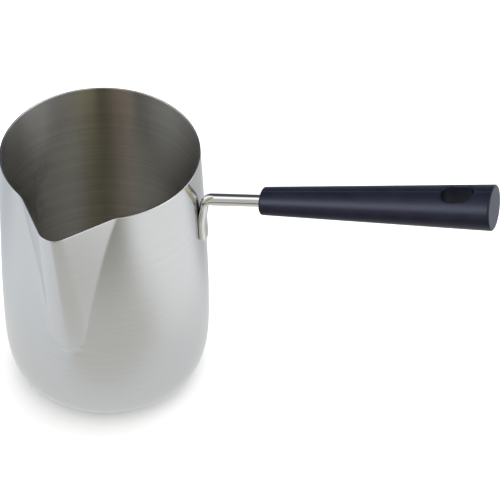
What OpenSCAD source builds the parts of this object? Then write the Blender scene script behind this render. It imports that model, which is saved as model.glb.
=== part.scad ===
// Melting pot for wax: a drawn steel pot with a pressed pouring spout, a steel rod whose
// flattened end is spot-welded to the wall, and a moulded grip on the other end of the rod.
// +Z is up, the origin is the middle of the base, and the handle runs along +X.

/* [Pot] */
// Height of the rim above the base
pot_h = 136; // [126:1:146]
// Outer radius at the rim
rim_r = 48; // [47:0.5:50]
// Outer radius at the widest place
belly_r = 51; // [50.5:0.5:52]
// Height of the widest place
belly_z = 50; // [44:1:52]
// Radius of the flat middle of the base
base_r = 24; // [18:1:30]
// Squareness of the rounded corner between base and wall
corner_power = 4.5; // [3:0.1:6]
// Thickness of the sheet
wall = 0.8; // [0.6:0.1:1.2]

/* [Spout] */
// Angle from the handle round to the spout
spout_turn = 94; // [85:1:100]
// Distance from the pot's axis to the tip of the spout
spout_reach = 66; // [62:0.5:70]
// Half of the angle between the spout's two sides at the rim
spout_half = 39.5; // [36:0.5:44]
// Radius of the nose at the rim
nose_r = 8; // [6:0.5:10]
// Height at which the nose meets the belly
toe_z = 54; // [50:1:60]
// Radius of the nose at its lower end
toe_r = 14; // [12:0.5:16]
// How far the nose stands out of the wall at its lower end
toe_step = 1.5; // [1:0.1:2]

/* [Rod] */
// Diameter of the rod
rod_d = 6; // [5:0.5:6]
// Radius of the bend, along the rod's centre line
bend_r = 4; // [4:0.5:7]
// Width of the flattened end
pad_w = 8.4; // [7:0.2:9]
// Thickness of the flattened end
pad_t = 2.8; // [2.6:0.2:3.6]
// Height of the lower tip of the flattened end
pad_low = 92; // [88:1:96]
// Diameter of the spot weld
weld_d = 4.4; // [3:0.2:5]

/* [Grip] */
// Length of the grip
grip_l = 113; // [95:1:125]
// Angle at which the handle rises
grip_rise = 11; // [8:0.5:14]
// Distance from the pot's axis to the near end of the grip
grip_x = 80; // [76:0.2:86]
// Height of the middle of the grip's near end
grip_z = 123.4; // [121:0.2:125]
// Width at the near end
grip_w0 = 15.5; // [13:0.5:17]
// Width at the far end
grip_w1 = 25; // [21:0.5:27]
// Height of the section as a share of its width
grip_flat = 0.76; // [0.7:0.02:1]
// Length of the hanging slot
slot_l = 16; // [13:0.5:18]
// Width of the hanging slot
slot_w = 11; // [8:0.5:12]
// Distance from the far end to the middle of the slot
slot_in = 16.5; // [14:0.5:20]
// Length of rod inside the grip
tang_l = 42; // [30:1:60]

/* [Hidden] */
$fn = 96;
hull_fn = 40;
slice = 0.4;
trim = 2;
wall_curve = 1.36;
corner_steps = 16;
wall_steps = 8;
nose_x = spout_reach - nose_r;
toe_x = belly_r + toe_step - toe_r;
toe_drop = 5;
foot_r = nose_x * sin(spout_half) + nose_r;
rod_r = rod_d / 2;
weld_gap = 0.2;
pad_top = pad_low + 17;
pad_lean = atan((wall_r(pad_low) - wall_r(pad_top)) / (pad_top - pad_low));
weld_z = pad_low + 9;
weld_t = pad_back(weld_z) - wall_r(weld_z);
// The rod's upright and its run meet at the corner point, and the bend rounds that corner.
upright_x = wall_r(pad_top) + weld_gap + rod_r;
corner_z = grip_z + (upright_x - grip_x) * tan(grip_rise);
turn = 90 - grip_rise;
bend_start = corner_z - bend_r * tan(turn / 2);
run_x = upright_x + bend_r * (1 - cos(turn));
run_z = bend_start + bend_r * sin(turn);
run_l = (grip_x - run_x) / cos(grip_rise);
spade_l = 9;
spade_w = 7.8;
spade_t = 4.6;
near_round = 1.2;
far_round = 1;
round_steps = 5;
grip_fn = 64;

// Outer radius of the pot's wall at height z, from the widest place up to the rim
function wall_r(z) =
    belly_r - (belly_r - rim_r) * pow(max(0, z - belly_z) / (pot_h - belly_z), wall_curve);

// Distance from the pot's axis to the back of the flattened end at height z
function pad_back(z) = wall_r(pad_low) + weld_gap - (z - pad_low) * tan(pad_lean);

// A point of the rounded corner, moved in by the thickness: 0 degrees is at the widest
// place and 90 degrees is on the base
function corner_point(a, inset) =
    let (reach = pow(pow(cos(a), corner_power) + pow(sin(a), corner_power), -1 / corner_power))
    [
        base_r + (belly_r - inset - base_r) * reach * cos(a),
        belly_z - (belly_z - inset) * reach * sin(a)
    ];

// Points on a quarter circle about c, from angle a to angle b
function quarter(c, r, a, b) =
    [for (i = [0:round_steps]) let (t = a + (b - a) * i / round_steps) c + r * [cos(t), sin(t)]];

// Half of the pot's section, moved in by the thickness and reaching above the rim by lift
module pot_outline(inset, lift) {
    upper = [
        for (i = [wall_steps:-1:1])
            let (z = belly_z + (pot_h - belly_z) * i / wall_steps) [wall_r(z) - inset, z]
    ];
    corner = [for (i = [0:corner_steps]) corner_point(90 * i / corner_steps, inset)];
    polygon(concat([[0, pot_h + lift], [rim_r - inset, pot_h + lift]], upper, corner, [[0, inset]]));
}

// The solid wedge of the spout, moved in by the thickness and reaching above the rim by lift
module spout_wedge(inset, lift) {
    foot = foot_r - inset;
    rotate([0, 0, -spout_turn])
        hull() {
            translate([nose_x, 0, pot_h - slice])
                cylinder(h = slice + lift, r = nose_r - inset, $fn = hull_fn);
            translate([0, 0, pot_h - slice])
                linear_extrude(slice + lift)
                    polygon([[0, 0], foot * [sin(spout_half), cos(spout_half)],
                             foot * [sin(spout_half), -cos(spout_half)]]);
            translate([toe_x, 0, toe_z + inset / 2])
                cylinder(h = slice, r = toe_r - inset, $fn = hull_fn);
            translate([toe_x - toe_step, 0, toe_z - toe_drop + inset / 2])
                cylinder(h = slice, r = toe_r - 2 * toe_step - inset, $fn = hull_fn);
        }
}

module pot_body() {
    color("silver")
        difference() {
            union() {
                rotate_extrude() pot_outline(0, trim);
                spout_wedge(0, trim);
            }
            rotate_extrude() pot_outline(wall, 2 * trim);
            spout_wedge(wall, 2 * trim);
            translate([0, 0, pot_h]) cylinder(h = 3 * trim, r = 2 * spout_reach);
        }
}

// Puts the rod's straight run along +Z, from the end of the bend
module on_run() {
    translate([run_x, 0, run_z])
        rotate([0, turn, 0])
            children();
}

// A round-ended plate that lies against the wall, from its back face outwards
module pad_plate(w, t) {
    rotate([0, 90, 0])
        linear_extrude(t)
            hull() {
                translate([-w / 2, 0]) circle(d = w, $fn = hull_fn);
                translate([pad_low - pad_top, 0]) circle(d = w, $fn = hull_fn);
            }
}

// The flattened end, lying against the wall, and its change to the round rod
module pad() {
    hull() {
        translate([pad_back(pad_low), 0, pad_low])
            rotate([0, -pad_lean, 0]) {
                pad_plate(pad_w, pad_t / 2);
                translate([0, 0, 1.2]) pad_plate(pad_w - 2.4, pad_t);
            }
    }
    hull() {
        translate([pad_back(pad_low) + slice, -pad_w / 2 + 1, pad_top - pad_w])
            rotate([0, -pad_lean, 0])
                cube([pad_t - 2 * slice, pad_w - 2, pad_w / 2]);
        translate([upright_x, 0, bend_start])
            cylinder(h = slice, r = rod_r - 0.1, $fn = hull_fn);
    }
}

// The bend, which ends where the straight run starts
module rod_bend() {
    translate([bend_r, 0, 0])
        rotate([-90, 0, 180])
            rotate_extrude(angle = turn)
                translate([bend_r, 0]) circle(r = rod_r);
}

// The part of the rod inside the grip, with a squeezed end that locks in the moulding
module tang() {
    on_run() {
        translate([0, 0, run_l]) cylinder(h = tang_l - spade_l / 2, r = rod_r);
        translate([0, 0, run_l + tang_l - spade_l])
            intersection() {
                cylinder(h = spade_l, d = spade_w);
                translate([-spade_t / 2, -spade_w, 0]) cube([spade_t, 2 * spade_w, spade_l]);
            }
    }
}

module handle_rod() {
    color("gainsboro") {
        pad();
        on_run() {
            rod_bend();
            cylinder(h = run_l, r = rod_r);
        }
        tang();
    }
}

// The fused metal between the wall and the flattened end
module spot_weld() {
    color("dimgray")
        translate([pad_back(weld_z) - weld_t, 0, weld_z])
            rotate([0, 90 - pad_lean, 0]) cylinder(h = weld_t, d = weld_d);
}

// The grip's blank: a tapered oval with rounded ends
module grip_blank() {
    near = quarter([grip_w0 / 2 - near_round, near_round], near_round, -90, 0);
    far = quarter([grip_w1 / 2 - far_round, grip_l - far_round - slice], far_round, 0, 90);
    hull()
        for (p = concat(near, far))
            translate([0, 0, p[1]])
                scale([grip_flat, 1, 1])
                    cylinder(h = slice, r = p[0], $fn = grip_fn);
}

module grip() {
    color([0.13, 0.14, 0.17])
        difference() {
            translate([grip_x, 0, grip_z])
                rotate([0, turn, 0])
                    difference() {
                        grip_blank();
                        translate([0, 0, grip_l - slot_in])
                            rotate([0, 90, 0])
                                for (s = [-1, 1])
                                    translate([s * (slot_l - slot_w) / 2, 0, -grip_w1])
                                        cylinder(h = 2 * grip_w1, d = slot_w);
                        translate([-grip_w1, -slot_w / 2, grip_l - slot_in - (slot_l - slot_w) / 2])
                            cube([2 * grip_w1, slot_w, slot_l - slot_w]);
                    }
            tang();
        }
}

pot_body();
handle_rod();
spot_weld();
grip();
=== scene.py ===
"""Looks of the melting pot: a satin steel pot with a pressed spout, a polished rod welded to
its wall and a moulded grip, on a pale studio floor. Lengths are in millimetres until a mesh
is made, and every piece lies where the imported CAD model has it."""

import math

import bmesh
import bpy
import numpy as np
from mathutils import Euler, Matrix, Vector


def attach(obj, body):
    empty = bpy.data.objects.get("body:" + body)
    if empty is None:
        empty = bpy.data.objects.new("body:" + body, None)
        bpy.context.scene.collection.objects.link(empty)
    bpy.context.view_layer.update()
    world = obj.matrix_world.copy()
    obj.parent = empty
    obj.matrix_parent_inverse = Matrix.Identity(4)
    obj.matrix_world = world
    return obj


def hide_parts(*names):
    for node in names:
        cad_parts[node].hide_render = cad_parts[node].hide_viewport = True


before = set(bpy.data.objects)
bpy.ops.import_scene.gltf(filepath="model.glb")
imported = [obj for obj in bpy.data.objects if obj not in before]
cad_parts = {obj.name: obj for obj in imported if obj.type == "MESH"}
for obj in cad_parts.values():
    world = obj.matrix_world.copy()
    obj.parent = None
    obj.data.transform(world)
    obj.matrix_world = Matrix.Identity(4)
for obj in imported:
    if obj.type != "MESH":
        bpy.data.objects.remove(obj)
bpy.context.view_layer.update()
MM = 0.001

# Pot, as drawn in the CAD model
POT_H, RIM_R, BELLY_R, BELLY_Z, BASE_R = 136.0, 48.0, 51.0, 50.0, 24.0
CORNER_POWER, WALL_CURVE, SHEET = 4.5, 1.36, 0.8
# Spout, and the angle from its middle past which the wall is plain
SPOUT_TURN, SPOUT_HALF = math.radians(-94), math.radians(39.5)
NOSE_X, NOSE_R, TOE_X, TOE_R, TOE_Z = 58.0, 8.0, 38.5, 14.0, 54.0
SPOUT_EDGE = math.radians(46)
# Rod
ROD_R, BEND_R, PAD_W, PAD_T, PAD_LOW = 3.0, 4.0, 8.4, 2.8, 92.0
TANG_L, SPADE_L, SPADE_W, SPADE_T, WELD_GAP = 42.0, 9.0, 7.8, 4.6, 0.2
# Rod, as it looks: the gap behind its flat end and its thickness where the bend starts
PAD_GAP, BEND_T = 0.06, 4.0
# Grip
GRIP_L, RISE, GRIP_X, GRIP_Z = 113.0, math.radians(11), 80.0, 123.4
GRIP_W0, GRIP_W1, GRIP_FLAT = 15.5, 25.0, 0.76
SLOT_L, SLOT_W, SLOT_IN = 16.0, 11.0, 16.5
# Roundings, as they look: the pot's lip; the spout's crease away from the handle, with what
# is added to it half-way down, and its crease towards the handle; and the grip's edges
LIP, CREASE_FAR, CREASE_MORE, CREASE_NEAR = 0.3, 1.2, 3.8, 0.45
NEAR_ROUND, FAR_ROUND, SLOT_ROUND = 1.2, 0.9, 1.1
# Print of the weld in the rod's flat end: height above the tip, depth and radius
PRINT_UP, PRINT_DEPTH, PRINT_R = 9.0, 0.45, 1.7
# How far round the camera stands from straight in front, and its level directions
VIEW_TURN = math.radians(15)
TO_RIGHT = (math.cos(VIEW_TURN), math.sin(VIEW_TURN), 0.0)
TO_CAMERA = (math.sin(VIEW_TURN), -math.cos(VIEW_TURN), 0.0)


def wall_r(z):
    """Outer radius of the pot's wall from its widest place up."""
    up = np.maximum(0, np.asarray(z, float) - BELLY_Z) / (POT_H - BELLY_Z)
    return BELLY_R - (BELLY_R - RIM_R) * up**WALL_CURVE


def corner(a, inset):
    """Radius and height on the rounded corner: 0 is the widest place and pi / 2 is the base."""
    c, s = np.abs(np.cos(a)), np.abs(np.sin(a))
    reach = (c**CORNER_POWER + s**CORNER_POWER) ** (-1 / CORNER_POWER)
    return BASE_R + (BELLY_R - inset - BASE_R) * reach * c, BELLY_Z - (BELLY_Z - inset) * reach * s


def smooth(x):
    """An eased step, from 0 at 0 to 1 at 1."""
    x = np.clip(x, 0, 1)
    return x * x * (3 - 2 * x)


def smooth_max(a, b, k):
    """The larger of a and b, with the crease between them rounded over the range k."""
    h = np.maximum(k - np.abs(a - b), 0) / k
    return np.maximum(a, b) + h * h * k / 4


def spout_r(psi, z, inset):
    """Distance from the axis to the spout's sheet, at angle psi from the spout's middle."""
    s = (POT_H - z) / (POT_H - TOE_Z)
    cx = NOSE_X + (TOE_X - NOSE_X) * s
    nr = NOSE_R + (TOE_R - NOSE_R) * s - inset
    a = np.abs(psi)
    flank = (cx * math.sin(SPOUT_HALF) + nr) / np.cos(a - (math.pi / 2 - SPOUT_HALF))
    nose = cx * np.cos(a) + np.sqrt(np.maximum(nr**2 - (cx * np.sin(a)) ** 2, 0))
    tangent = np.arctan2(nr * math.cos(SPOUT_HALF), cx + nr * math.sin(SPOUT_HALF))
    lip = TOE_Z - 0.8 + 3.5 * np.minimum(a / 0.14, 1.6) ** 2
    return np.where(a <= tangent, nose, flank) - 5 * np.maximum(0, (lip - z) / 2.4) ** 1.6


def dent(psi, z):
    """Depth of the shallow hollow that the press leaves in the wall below the spout's toe."""
    return 0.45 * np.exp(-(((z - TOE_Z + 2.6) / 1.9) ** 2) - (psi / 0.15) ** 2)


def crease(z):
    """Angle from the spout's middle to the crease where its flank leaves the round wall."""
    low, high = 0.0, SPOUT_EDGE
    for _ in range(30):
        mid = (low + high) / 2
        if float(spout_r(mid, z, 0)) > float(wall_r(z)):
            low = mid
        else:
            high = mid
    return low


def new_object(name, verts, faces, materials, slots=None):
    """A smooth-shaded mesh object from points in millimetres."""
    mesh = bpy.data.meshes.new(name)
    mesh.from_pydata([tuple(v) for v in np.asarray(verts) * MM], [], faces)
    mesh.validate()
    for m in materials:
        mesh.materials.append(m)
    mesh.polygons.foreach_set("use_smooth", [True] * len(mesh.polygons))
    if slots is not None:
        mesh.polygons.foreach_set("material_index", slots)
    mesh.update()
    obj = bpy.data.objects.new(name, mesh)
    bpy.context.scene.collection.objects.link(obj)
    return obj


# ---------------------------------------------------------------- node helpers


class Nodes:
    """Short calls for building a node tree."""

    def __init__(self, tree):
        self.tree = tree

    def add(self, kind, **values):
        node = self.tree.nodes.new(kind)
        for key, value in values.items():
            setattr(node, key, value)
        return node

    def put(self, socket, value):
        if isinstance(value, bpy.types.NodeSocket):
            self.tree.links.new(value, socket)
        elif isinstance(value, tuple) and len(value) == 3 and socket.type == "RGBA":
            socket.default_value = (*value, 1)
        else:
            socket.default_value = value

    def math(self, op, *values):
        node = self.add("ShaderNodeMath", operation=op)
        for i, value in enumerate(values):
            self.put(node.inputs[i], value)
        return node.outputs[0]

    def remap(self, value, low, high, to_low=0.0, to_high=1.0):
        node = self.add("ShaderNodeMapRange", interpolation_type="SMOOTHSTEP")
        for i, v in enumerate((value, low, high, to_low, to_high)):
            self.put(node.inputs[i], v)
        return node.outputs[0]

    def mix(self, factor, a, b, blend="MIX"):
        node = self.add("ShaderNodeMix", data_type="RGBA", blend_type=blend)
        self.put(node.inputs["Factor"], factor)
        self.put(node.inputs[6], a)
        self.put(node.inputs[7], b)
        return node.outputs[2]

    def scaled(self, vector, scale):
        node = self.add("ShaderNodeVectorMath", operation="MULTIPLY")
        self.put(node.inputs[0], vector)
        self.put(node.inputs[1], scale)
        return node.outputs[0]

    def dot(self, vector, other):
        node = self.add("ShaderNodeVectorMath", operation="DOT_PRODUCT")
        self.put(node.inputs[0], vector)
        self.put(node.inputs[1], other)
        return node.outputs[1]

    def split(self, vector):
        node = self.add("ShaderNodeSeparateXYZ")
        self.put(node.inputs[0], vector)
        return node.outputs

    def noise(self, vector, scale, detail=2.0, rough=0.5):
        node = self.add("ShaderNodeTexNoise")
        self.put(node.inputs["Vector"], vector)
        self.put(node.inputs["Scale"], scale)
        self.put(node.inputs["Detail"], detail)
        self.put(node.inputs["Roughness"], rough)
        return node.outputs["Fac"]

    def bump(self, height, strength, distance, normal=None):
        node = self.add("ShaderNodeBump")
        self.put(node.inputs["Strength"], strength)
        self.put(node.inputs["Distance"], distance)
        self.put(node.inputs["Height"], height)
        if normal is not None:
            self.put(node.inputs["Normal"], normal)
        return node.outputs[0]

    def place(self):
        return self.add("ShaderNodeTexCoord").outputs["Object"]


def material(name):
    mat = bpy.data.materials.new(name)
    mat.use_nodes = True
    return mat, Nodes(mat.node_tree), mat.node_tree.nodes["Principled BSDF"].inputs


def steel(name, tone, rough, spun, ring, anisotropy):
    """Spun sheet steel: fine rings round the axis, faint smears and a tone that drifts."""
    mat, n, bsdf = material(name)
    place = n.place()
    rings = n.noise(n.scaled(place, (6, 6, 3000)), 1.0, 2.0, 0.5)
    bands = n.noise(n.scaled(place, (4, 4, 760)), 1.0, 2.0, 0.5)
    drift = n.noise(n.scaled(place, (25, 25, 12)), 1.0, 2.0, 0.5)
    n.put(bsdf["Metallic"], 1.0)
    shade = n.remap(bands, 0.3, 0.7, 0.0, 1.0)
    dark = tuple(c * (1 - ring) for c in tone)
    n.put(bsdf["Base Color"], n.mix(shade, dark, tone))
    n.put(bsdf["Roughness"], n.remap(drift, 0.25, 0.75, rough * 0.88, rough * 1.12))
    n.put(bsdf["Anisotropic"], anisotropy)
    n.put(bsdf["Anisotropic Rotation"], 0.25)
    tangent = n.add("ShaderNodeTangent", direction_type="RADIAL", axis="Z")
    n.put(bsdf["Tangent"], tangent.outputs[0])
    height = n.math("ADD", n.math("MULTIPLY", rings, 0.35), bands)
    n.put(bsdf["Normal"], n.bump(height, 1.0, spun * MM))
    return mat


def polished(name):
    """Drawn and polished rod, with the faint lines that drawing leaves along it."""
    mat, n, bsdf = material(name)
    place = n.place()
    lines = n.noise(n.scaled(place, (60, 1800, 1800)), 1.0, 2.0, 0.5)
    haze = n.noise(place, 180.0, 3.0, 0.6)
    n.put(bsdf["Metallic"], 1.0)
    n.put(bsdf["Base Color"], n.mix(haze, (0.63, 0.625, 0.60), (0.70, 0.695, 0.68)))
    n.put(bsdf["Roughness"], n.remap(haze, 0.3, 0.7, 0.05, 0.09))
    n.put(bsdf["Normal"], n.bump(lines, 1.0, 0.0012 * MM))
    return mat


def heat_tinted(name):
    """Fused metal of the weld: straw and blue heat tints over dull steel."""
    mat, n, bsdf = material(name)
    place = n.place()
    spots = n.noise(place, 900.0, 3.0, 0.6)
    n.put(bsdf["Metallic"], 1.0)
    warm = n.mix(n.remap(spots, 0.35, 0.6), (0.16, 0.17, 0.21), (0.34, 0.27, 0.17))
    n.put(bsdf["Base Color"], warm)
    n.put(bsdf["Roughness"], n.remap(spots, 0.3, 0.7, 0.32, 0.5))
    n.put(bsdf["Normal"], n.bump(spots, 0.5, 0.02 * MM))
    return mat


def moulded(name):
    """Satin black moulding: a fine spark-eroded texture, and the mould's parting line along
    the middle of its top and bottom."""
    mat, n, bsdf = material(name)
    place = n.place()
    grain = n.noise(place, 5200.0, 2.0, 0.6)
    patch = n.noise(place, 130.0, 3.0, 0.55)
    tone = n.mix(n.remap(patch, 0.3, 0.7), (0.0040, 0.0046, 0.0110), (0.0058, 0.0064, 0.0138))
    line = n.remap(n.math("ABSOLUTE", n.split(place)[1]), 0.00022, 0.00008)
    n.put(bsdf["Base Color"], n.mix(line, tone, (0.016, 0.018, 0.026)))
    n.put(bsdf["Roughness"], n.remap(patch, 0.3, 0.7, 0.385, 0.415))
    n.put(bsdf["Specular IOR Level"], 0.19)
    fine = n.bump(grain, 0.35, 0.02 * MM)
    n.put(bsdf["Normal"], n.bump(line, 1.0, 0.06 * MM, fine))
    return mat


OUTSIDE = steel("pot_satin_outside", (0.62, 0.625, 0.63), 0.20, 0.0003, 0.02, 0.3)
INSIDE = steel("pot_spun_inside", (0.63, 0.62, 0.585), 0.30, 0.003, 0.12, 1.0)
ROD = polished("rod_polished_steel")
WELD = heat_tinted("weld_heat_tint")
GRIP = moulded("grip_satin_black")


# ------------------------------------------------------------------------ pot


def pot():
    """The drawn sheet as one closed skin: base, outer wall, rounded lip, inner wall, floor."""
    half = np.concatenate([
        np.linspace(0, 0.24, 15), np.linspace(0.24, 0.84, 15)[1:],
        np.linspace(0.84, 1.16, 29)[1:], np.linspace(1.16, 2, 38)[1:],
    ])
    near = np.concatenate([-half[:0:-1], half])
    rest = np.linspace(SPOUT_EDGE, 2 * math.pi - SPOUT_EDGE, 154)[1:-1]

    def angles(z):
        c = crease(max(z, TOE_Z + 2))
        t = np.abs(near)
        psi = np.where(t <= 1, t * c, c + (t - 1) * (SPOUT_EDGE - c)) * np.sign(near)
        return np.concatenate([psi, rest])

    def ring(z, inset):
        """Angles and distances of one ring of the wall. The crease on the side away from the
        handle is pressed softer, most of all half-way down."""
        psi = angles(z)
        r = np.full(len(psi), float(wall_r(z)) - inset)
        side = np.abs(psi) <= SPOUT_EDGE + 1e-9
        more = CREASE_MORE * float(smooth((POT_H - 8 - z) / 35) * smooth((z - TOE_Z - 2) / 22))
        soft = np.where(psi[side] < 0, CREASE_FAR + more, CREASE_NEAR)
        r[side] = smooth_max(r[side] - dent(psi[side], z), spout_r(psi[side], z, inset), soft)
        return psi, r

    heights = np.concatenate([
        np.linspace(BELLY_Z, TOE_Z + 6, 34), np.linspace(TOE_Z + 6, POT_H - 4, 74)[1:],
        np.linspace(POT_H - 4, POT_H - LIP, 8)[1:],
    ])
    rows, kinds = [], []

    def add(psi, r, z, kind):
        a = psi + SPOUT_TURN
        rows.append(np.stack([r * np.cos(a), r * np.sin(a), np.full(len(r), float(z))], 1))
        kinds.append(kind)

    flat = angles(BELLY_Z)
    corner_a = np.linspace(math.pi / 2, 0, 46)
    for r in (3.0, 9.0, 16.0):
        add(flat, np.full(len(flat), r), 0.0, 0)
    for a in corner_a[:-1]:
        r, z = corner(a, 0.0)
        add(flat, np.full(len(flat), r), z, 0)
    for z in heights:
        add(*ring(z, 0.0), z, 0)
    psi, outer = ring(POT_H - LIP, 0.0)
    inner = ring(POT_H - LIP, SHEET)[1]
    for t in np.radians([22, 45, 67, 90]):
        add(psi, outer + (inner - outer) * 0.36 * (1 - math.cos(t)), POT_H - LIP + LIP * math.sin(t), 0)
    for t in np.radians([90, 67, 45, 22]):
        add(psi, inner + (outer - inner) * 0.36 * (1 - math.cos(t)), POT_H - LIP + LIP * math.sin(t), 0)
    for z in heights[::-1]:
        add(*ring(z, SHEET), z, 1)
    for a in corner_a[-2::-1]:
        r, z = corner(a, SHEET)
        add(flat, np.full(len(flat), r), z, 1)
    for r in (16.0, 9.0, 3.0):
        add(flat, np.full(len(flat), r), SHEET, 1)

    n, m = len(flat), len(rows)
    verts = np.concatenate(rows + [np.array([[0, 0, 0.0], [0, 0, SHEET]])])
    faces, slots = [], []
    for i in range(m - 1):
        for k in range(n):
            j = (k + 1) % n
            faces.append((i * n + k, i * n + j, (i + 1) * n + j, (i + 1) * n + k))
            slots.append(kinds[i])
    for k in range(n):
        j = (k + 1) % n
        faces.append((n * m, j, k))
        slots.append(0)
        faces.append((n * m + 1, (m - 1) * n + k, (m - 1) * n + j))
        slots.append(1)
    return new_object("drawn_pot", verts, faces, [OUTSIDE, INSIDE], slots)


# ------------------------------------------------------------------------ rod


def rod():
    """One bar: flattened and rounded against the wall, round round the bend and along the
    run, and squeezed at its end inside the grip."""
    pad_top = PAD_LOW + 17
    lean = math.atan((float(wall_r(PAD_LOW)) - float(wall_r(pad_top))) / 17)
    back = float(wall_r(PAD_LOW)) + PAD_GAP
    up_x = float(wall_r(pad_top)) + WELD_GAP + ROD_R
    corner_z = GRIP_Z + (up_x - GRIP_X) * math.tan(RISE)
    turn = math.pi / 2 - RISE
    bend_z = corner_z - BEND_R * math.tan(turn / 2)
    run = np.array([up_x + BEND_R * (1 - math.cos(turn)), bend_z + BEND_R * math.sin(turn)])
    along = np.array([math.cos(RISE), math.sin(RISE)])
    total = (GRIP_X - run[0]) / math.cos(RISE) + TANG_L

    # Each section: centre (x, z), direction out of the wall, width, thickness, and the
    # squareness of its outer half and of the half towards the wall
    sections = []
    for h in np.concatenate([PAD_W / 2 * (1 - np.cos(np.linspace(0.12, math.pi / 2, 12))),
                             np.linspace(PAD_W / 2, bend_z - PAD_LOW, 26)[1:]]):
        tip = math.sqrt(max(0.0, 1 - max(0.0, 1 - h / (PAD_W / 2)) ** 2))
        flat = 1 - float(smooth((h - 11) / (bend_z - PAD_LOW - 11)))
        width = (2 * ROD_R + 0.8 + (PAD_W - 2 * ROD_R - 0.8) * flat) * tip
        full = BEND_T + (PAD_T - BEND_T) * flat
        thick = full * (0.55 + 0.45 * math.sqrt(min(1.0, h / 1.8)))
        x = back - h * math.tan(lean) * flat - (back - up_x + ROD_R) * (1 - flat) + full / 2
        sections.append((x, PAD_LOW + h, 0.0, width, thick, 2 + 0.8 * flat, 2 + 7 * flat))
    for t in np.linspace(0, turn, 24)[1:]:
        thick = BEND_T + (2 * ROD_R - BEND_T) * float(smooth(t / turn))
        reach = BEND_R + ROD_R - thick / 2
        sections.append((up_x + BEND_R - reach * math.cos(t), bend_z + reach * math.sin(t), t,
                         2 * ROD_R + 0.8 * (1 - float(smooth(t / turn))), thick, 2.0, 2.0))
    lengths = np.concatenate([np.linspace(0, total - SPADE_L - 3, 30)[1:],
                              np.linspace(total - SPADE_L - 3, total, 14)[1:]])
    for s in lengths:
        squeeze = float(smooth((s - (total - SPADE_L - 2)) / 3))
        x, z = run + along * s
        sections.append((x, z, turn, 2 * ROD_R + (SPADE_W - 2 * ROD_R) * squeeze,
                         2 * ROD_R + (SPADE_T - 2 * ROD_R) * squeeze, 2 + squeeze, 2 + squeeze))

    count = 56
    a = 2 * math.pi * np.arange(count) / count
    verts, faces = [], []
    # The flat end follows the curve of the wall and has the shallow print of the weld.
    wrap = 1 / (2 * float(wall_r(PAD_LOW + 8)))
    for x, z, t, width, thick, front, rear in sections:
        square = np.where(np.cos(a) > 0, front, rear)
        across = np.sign(np.sin(a)) * np.abs(np.sin(a)) ** (2 / square) * width / 2
        out = np.sign(np.cos(a)) * np.abs(np.cos(a)) ** (2 / square) * thick / 2
        if t == 0:
            far = (z - PAD_LOW - PRINT_UP) ** 2 + across**2
            weld_print = PRINT_DEPTH * np.exp(-(far / PRINT_R**2))
            out = out - across**2 * wrap - np.where(np.cos(a) > 0, weld_print, 0)
        verts.append(np.stack([x + out * math.cos(t), across, z - out * math.sin(t)], 1))
    for i in range(len(sections) - 1):
        for k in range(count):
            j = (k + 1) % count
            faces.append((i * count + k, i * count + j, (i + 1) * count + j, (i + 1) * count + k))
    last = (len(sections) - 1) * count
    faces.append(tuple(range(count))[::-1])
    faces.append(tuple(range(last, last + count)))
    return new_object("handle_bar", np.concatenate(verts), faces, [ROD])


# ----------------------------------------------------------------------- grip

GRIP_AXES = Matrix.Rotation(math.pi / 2 - RISE, 3, "Y")
GRIP_AXES_NP = np.array(GRIP_AXES)
GRIP_FROM = np.array([GRIP_X, 0.0, GRIP_Z])


def grip_field(p):
    """Below zero inside the grip. The first two columns of p are across it and the third is
    along it from its near end; the slot runs along the first."""
    x, y, z = p[:, 0], p[:, 1], p[:, 2]
    half = (GRIP_W0 + (GRIP_W1 - GRIP_W0) * z / GRIP_L) / 2
    q = np.sqrt((x / GRIP_FLAT) ** 2 + y**2)
    body = (q - half) * np.where(q > 1e-6, np.sqrt((x / GRIP_FLAT) ** 2 + y**2) /
                                 np.maximum(np.sqrt((x / GRIP_FLAT**2) ** 2 + y**2), 1e-6), 1)

    def meet(a, b, r):
        """The part inside both a and b, with its edge rounded to radius r."""
        u, v = np.maximum(r + a, 0), np.maximum(r + b, 0)
        return np.minimum(-r, np.maximum(a, b)) + np.sqrt(u * u + v * v)

    field = meet(body, -z, NEAR_ROUND)
    field = meet(field, z - GRIP_L, FAR_ROUND)
    along = np.maximum(np.abs(z - (GRIP_L - SLOT_IN)) - (SLOT_L - SLOT_W) / 2, 0)
    slot = SLOT_W / 2 - np.sqrt(along**2 + y**2)
    return meet(field, slot, SLOT_ROUND)


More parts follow.
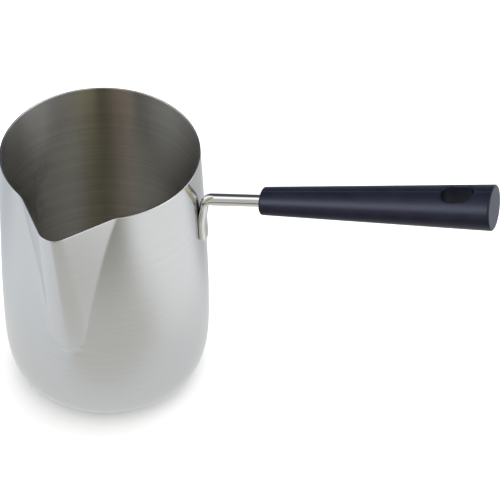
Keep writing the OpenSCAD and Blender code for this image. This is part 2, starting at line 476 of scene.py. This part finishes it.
def grip():
    """The moulding: a rough blank is remeshed, then each point is moved onto the field."""
    rings = [(0.2, 0.0), (0.9, 0.4), (1.0, 2.0),
             (1.0, GRIP_L - 1.6), (0.95, GRIP_L - 0.2), (0.2, GRIP_L)]
    count = 64
    a = 2 * math.pi * np.arange(count) / count
    verts, faces = [], []
    for share, z in rings:
        half = (GRIP_W0 + (GRIP_W1 - GRIP_W0) * z / GRIP_L) / 2 * share
        verts.append(np.stack([half * GRIP_FLAT * np.cos(a), half * np.sin(a), np.full(count, z)], 1))
    for i in range(len(rings) - 1):
        for k in range(count):
            j = (k + 1) % count
            faces.append((i * count + k, i * count + j, (i + 1) * count + j, (i + 1) * count + k))
    faces.append(tuple(range(count))[::-1])
    faces.append(tuple(range((len(rings) - 1) * count, len(rings) * count)))
    blank = new_object("moulded_grip", np.concatenate(verts), faces, [GRIP])

    side = np.array([[s * 30, 0.0, 0.0] for s in (-1, 1)])
    outline = []
    for k in range(count):
        t = 2 * math.pi * k / count
        end = (SLOT_L - SLOT_W) / 2 * (1 if math.cos(t) > 0 else -1)
        outline.append((SLOT_W / 2 * math.sin(t), GRIP_L - SLOT_IN + end + SLOT_W / 2 * math.cos(t)))
    cut_verts = np.array([[s[0], y, z] for s in side for y, z in outline])
    cut_faces = [(k, (k + 1) % count, count + (k + 1) % count, count + k) for k in range(count)]
    cut_faces += [tuple(range(count))[::-1], tuple(range(count, 2 * count))]
    cutter = new_object("slot_cutter", cut_verts, cut_faces, [])
    for obj in (blank, cutter):
        fix_normals(obj.data)
    for kind, values in (("BOOLEAN", {"operation": "DIFFERENCE", "object": cutter, "solver": "EXACT"}),
                         ("REMESH", {"mode": "VOXEL", "voxel_size": 0.42 * MM, "use_smooth_shade": True})):
        mod = blank.modifiers.new(kind, kind)
        for key, value in values.items():
            setattr(mod, key, value)
    shaped = bpy.data.meshes.new_from_object(blank.evaluated_get(bpy.context.evaluated_depsgraph_get()))
    blank.modifiers.clear()
    blank.data = shaped
    bpy.data.objects.remove(cutter)

    p = np.empty(len(shaped.vertices) * 3)
    shaped.vertices.foreach_get("co", p)
    p = p.reshape(-1, 3) / MM
    edges = np.empty(len(shaped.edges) * 2, int)
    shaped.edges.foreach_get("vertices", edges)
    edges = edges.reshape(-1, 2)
    degree = np.bincount(edges.ravel(), minlength=len(p)).astype(float)[:, None]
    for step in range(10):
        if step < 8:
            near = np.zeros_like(p)
            np.add.at(near, edges[:, 0], p[edges[:, 1]])
            np.add.at(near, edges[:, 1], p[edges[:, 0]])
            p += 0.5 * (near / degree - p)
        for _ in range(2):
            f = grip_field(p)
            slope = np.stack([(grip_field(p + d) - grip_field(p - d)) / 0.02
                              for d in np.eye(3) * 0.01], 1)
            p -= slope * (f / np.maximum((slope**2).sum(1), 0.05))[:, None]
    p = p @ GRIP_AXES_NP.T + GRIP_FROM
    shaped.vertices.foreach_set("co", (p * MM).ravel())
    shaped.polygons.foreach_set("use_smooth", [True] * len(shaped.polygons))
    if not shaped.materials:
        shaped.materials.append(GRIP)
    shaped.update()
    return blank


def fix_normals(mesh):
    """Turns every face of a closed mesh outwards."""
    work = bmesh.new()
    work.from_mesh(mesh)
    bmesh.ops.recalc_face_normals(work, faces=work.faces)
    work.to_mesh(mesh)
    work.free()


pot_piece, rod_piece, grip_piece = pot(), rod(), grip()
for piece, node, slot in ((pot_piece, "pot_body", "pot_steel"), (rod_piece, "handle_rod", "rod_steel"),
                          (grip_piece, "grip", "grip_plastic")):
    fix_normals(piece.data)
    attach(piece, "root")
    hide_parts(node)
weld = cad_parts["spot_weld"]
for s in weld.material_slots:
    s.material = WELD

# --------------------------------------------------------------------- studio

floor_mat, n, bsdf = material("studio_floor")
n.put(bsdf["Base Color"], n.mix(n.noise(n.place(), 3.0), (0.86, 0.86, 0.86), (0.88, 0.88, 0.88)))
n.put(bsdf["Roughness"], 0.9)
n.put(bsdf["Specular IOR Level"], 0.0)
floor = new_object("studio_floor", [(-6000, -6000, -0.05), (6000, -6000, -0.05),
                                    (6000, 6000, -0.05), (-6000, 6000, -0.05)],
                   [(0, 1, 2, 3)], [floor_mat])

scene = bpy.context.scene
world = bpy.data.worlds.new("studio")
scene.world = world
world.use_nodes = True
n = Nodes(world.node_tree)
back = world.node_tree.nodes["Background"]
way = n.add("ShaderNodeTexCoord").outputs["Generated"]
up = n.split(way)[2]
across = n.dot(way, TO_RIGHT)
turn = n.math("ARCTAN2", across, n.dot(way, TO_CAMERA))
# What stands round the table, by the angle from the camera: positive is to its right.
ROUND = [
    (-180, (0.10, 0.11, 0.12)), (-132, (0.10, 0.11, 0.12)), (-112, (1.1, 1.14, 1.2)),
    (-75, (1.75, 1.8, 1.9)), (-54, (0.9, 0.9, 0.88)), (-48, (0.62, 0.62, 0.60)),
    (-31, (0.62, 0.61, 0.56)), (-27, (1.35, 0.86, 0.72)), (-18, (1.35, 0.80, 0.62)),
    (-15, (0.62, 0.57, 0.38)), (-6, (0.62, 0.57, 0.38)), (-3.5, (0.02, 0.02, 0.015)),
    (4.5, (0.02, 0.02, 0.015)), (7, (1.15, 1.07, 0.68)), (23, (1.15, 1.07, 0.68)),
    (31, (0.85, 0.83, 0.74)), (54, (1.1, 1.1, 1.08)), (75, (2.8, 2.85, 2.98)),
    (112, (1.1, 1.14, 1.24)), (132, (0.10, 0.11, 0.12)), (180, (0.10, 0.11, 0.12)),
]
ramp = n.add("ShaderNodeValToRGB")
n.put(ramp.inputs[0], n.math("ADD", n.math("DIVIDE", turn, 2 * math.pi), 0.5))
stops = ramp.color_ramp.elements
stops[0].color, stops[1].color = (*ROUND[0][1], 1), (*ROUND[-1][1], 1)
for angle, colour in ROUND[1:-1]:
    stops.new(angle / 360 + 0.5).color = (*colour, 1)
# Matt surfaces are lit by plain white, and the camera sees a pale backdrop.
ray = n.add("ShaderNodeLightPath").outputs
room = n.mix(n.remap(up, 0.93, 0.97), ramp.outputs[0], (0.36, 0.35, 0.30))
room = n.mix(ray["Is Diffuse Ray"], room, (1.4, 1.4, 1.4))
n.put(back.inputs["Color"], n.mix(ray["Is Camera Ray"], room, (0.92, 0.92, 0.92)))
n.put(back.inputs["Strength"], 1.0)

# A glowing sheet round the pot that paints the reflections in the steel, with painted shade in front of
# the pot: it is seen only in reflections, and it lights nothing else.
reflection_sheet_mat = bpy.data.materials.new("painted_reflection_sheet")
reflection_sheet_mat.use_nodes = True
n = Nodes(reflection_sheet_mat.node_tree)
reflection_sheet_mat.node_tree.nodes.remove(reflection_sheet_mat.node_tree.nodes["Principled BSDF"])
place = n.place()
right = n.dot(place, TO_RIGHT)
ahead = n.dot(place, TO_CAMERA)
bearing = n.math("ARCTAN2", right, ahead)
# Painted reflection tones by place: painted shade just in front of the pot, darker still further out,
# bright to the right, and bluish to the left and behind.
tone = n.mix(n.remap(ahead, 0.055, 0.105), (0.80, 0.81, 0.81), (0.67, 0.67, 0.63))
tone = n.mix(n.remap(ahead, 0.13, 0.23), tone, (0.36, 0.36, 0.32))
tone = n.mix(n.remap(right, 0.065, 0.15), tone, (1.03, 1.04, 1.04))
tone = n.mix(n.remap(ahead, 0.28, 0.42), tone, (0.10, 0.10, 0.09))
away = n.math("SQRT", n.math("ADD", n.math("MULTIPLY", right, right), n.math("MULTIPLY", ahead, ahead)))
left = n.math("MULTIPLY", n.remap(bearing, -0.42, -0.58), n.remap(away, 0.06, 0.15))
tone = n.mix(left, tone, (0.86, 0.89, 0.92))
tone = n.mix(n.remap(ahead, 0.0, -0.1), tone, (0.65, 0.68, 0.73))
# Behind the pot: a painted dim reflection where the rod and the grip's underside mirror it, and a painted
# bright reflection for the grip's end.
behind = n.remap(ahead, -0.03, -0.08)
dim = n.math("MULTIPLY", n.remap(right, 0.07, 0.11), n.remap(right, 0.25, 0.20))
tone = n.mix(n.math("MULTIPLY", behind, dim), tone, (0.58, 0.58, 0.57))
tone = n.mix(n.math("MULTIPLY", behind, n.remap(right, 0.25, 0.30)), tone, (1.12, 1.18, 1.36))
glow = n.add("ShaderNodeEmission")
n.put(glow.inputs["Color"], tone)
n.put(reflection_sheet_mat.node_tree.nodes["Material Output"].inputs["Surface"], glow.outputs[0])
reflection_sheet = new_object("painted_reflection_sheet", [(-3000, -3000, 0.0), (3000, -3000, 0.0),
                                  (3000, 3000, 0.0), (-3000, 3000, 0.0)],
                  [(0, 1, 2, 3)], [reflection_sheet_mat])
reflection_sheet.visible_camera = reflection_sheet.visible_diffuse = reflection_sheet.visible_shadow = False


def area(name, at, to, size, power, colour=(1, 1, 1)):
    """An area light at one point, aimed at another; both in metres."""
    light = bpy.data.lights.new(name, "AREA")
    light.shape = "RECTANGLE"
    light.size, light.size_y = size
    light.energy = power
    light.color = colour
    obj = bpy.data.objects.new(name, light)
    scene.collection.objects.link(obj)
    obj.location = at
    obj.rotation_euler = (Vector(to) - Vector(at)).to_track_quat("-Z", "Y").to_euler()
    return obj


area("top_softbox", (0.1, 0.5, 1.6), (0.03, 0, 0), (1.6, 1.2), 13).visible_glossy = False
strip = area("grip_strip", (-0.40, -0.52, 0.92), (0.14, 0, 0.14), (0.6, 0.5), 10, (0.72, 0.80, 1.0))
lit = bpy.data.collections.new("lit_by_strip")
lit.objects.link(grip_piece)
strip.light_linking.receiver_collection = lit

cam = bpy.data.cameras.new("camera")
cam.lens, cam.sensor_width = 216, 36
cam.clip_start, cam.clip_end = 0.05, 60
camera = bpy.data.objects.new("camera", cam)
scene.collection.objects.link(camera)
camera.location = Vector((347.7, -1021.7, 1075.1)) * MM
camera.rotation_euler = Euler((math.radians(47.04), 0, VIEW_TURN))
scene.camera = camera

scene.view_settings.view_transform = "Standard"
scene.cycles.use_denoising = True
scene.cycles.max_bounces = 16
scene.cycles.glossy_bounces = 12
scene.cycles.sample_clamp_indirect = 6
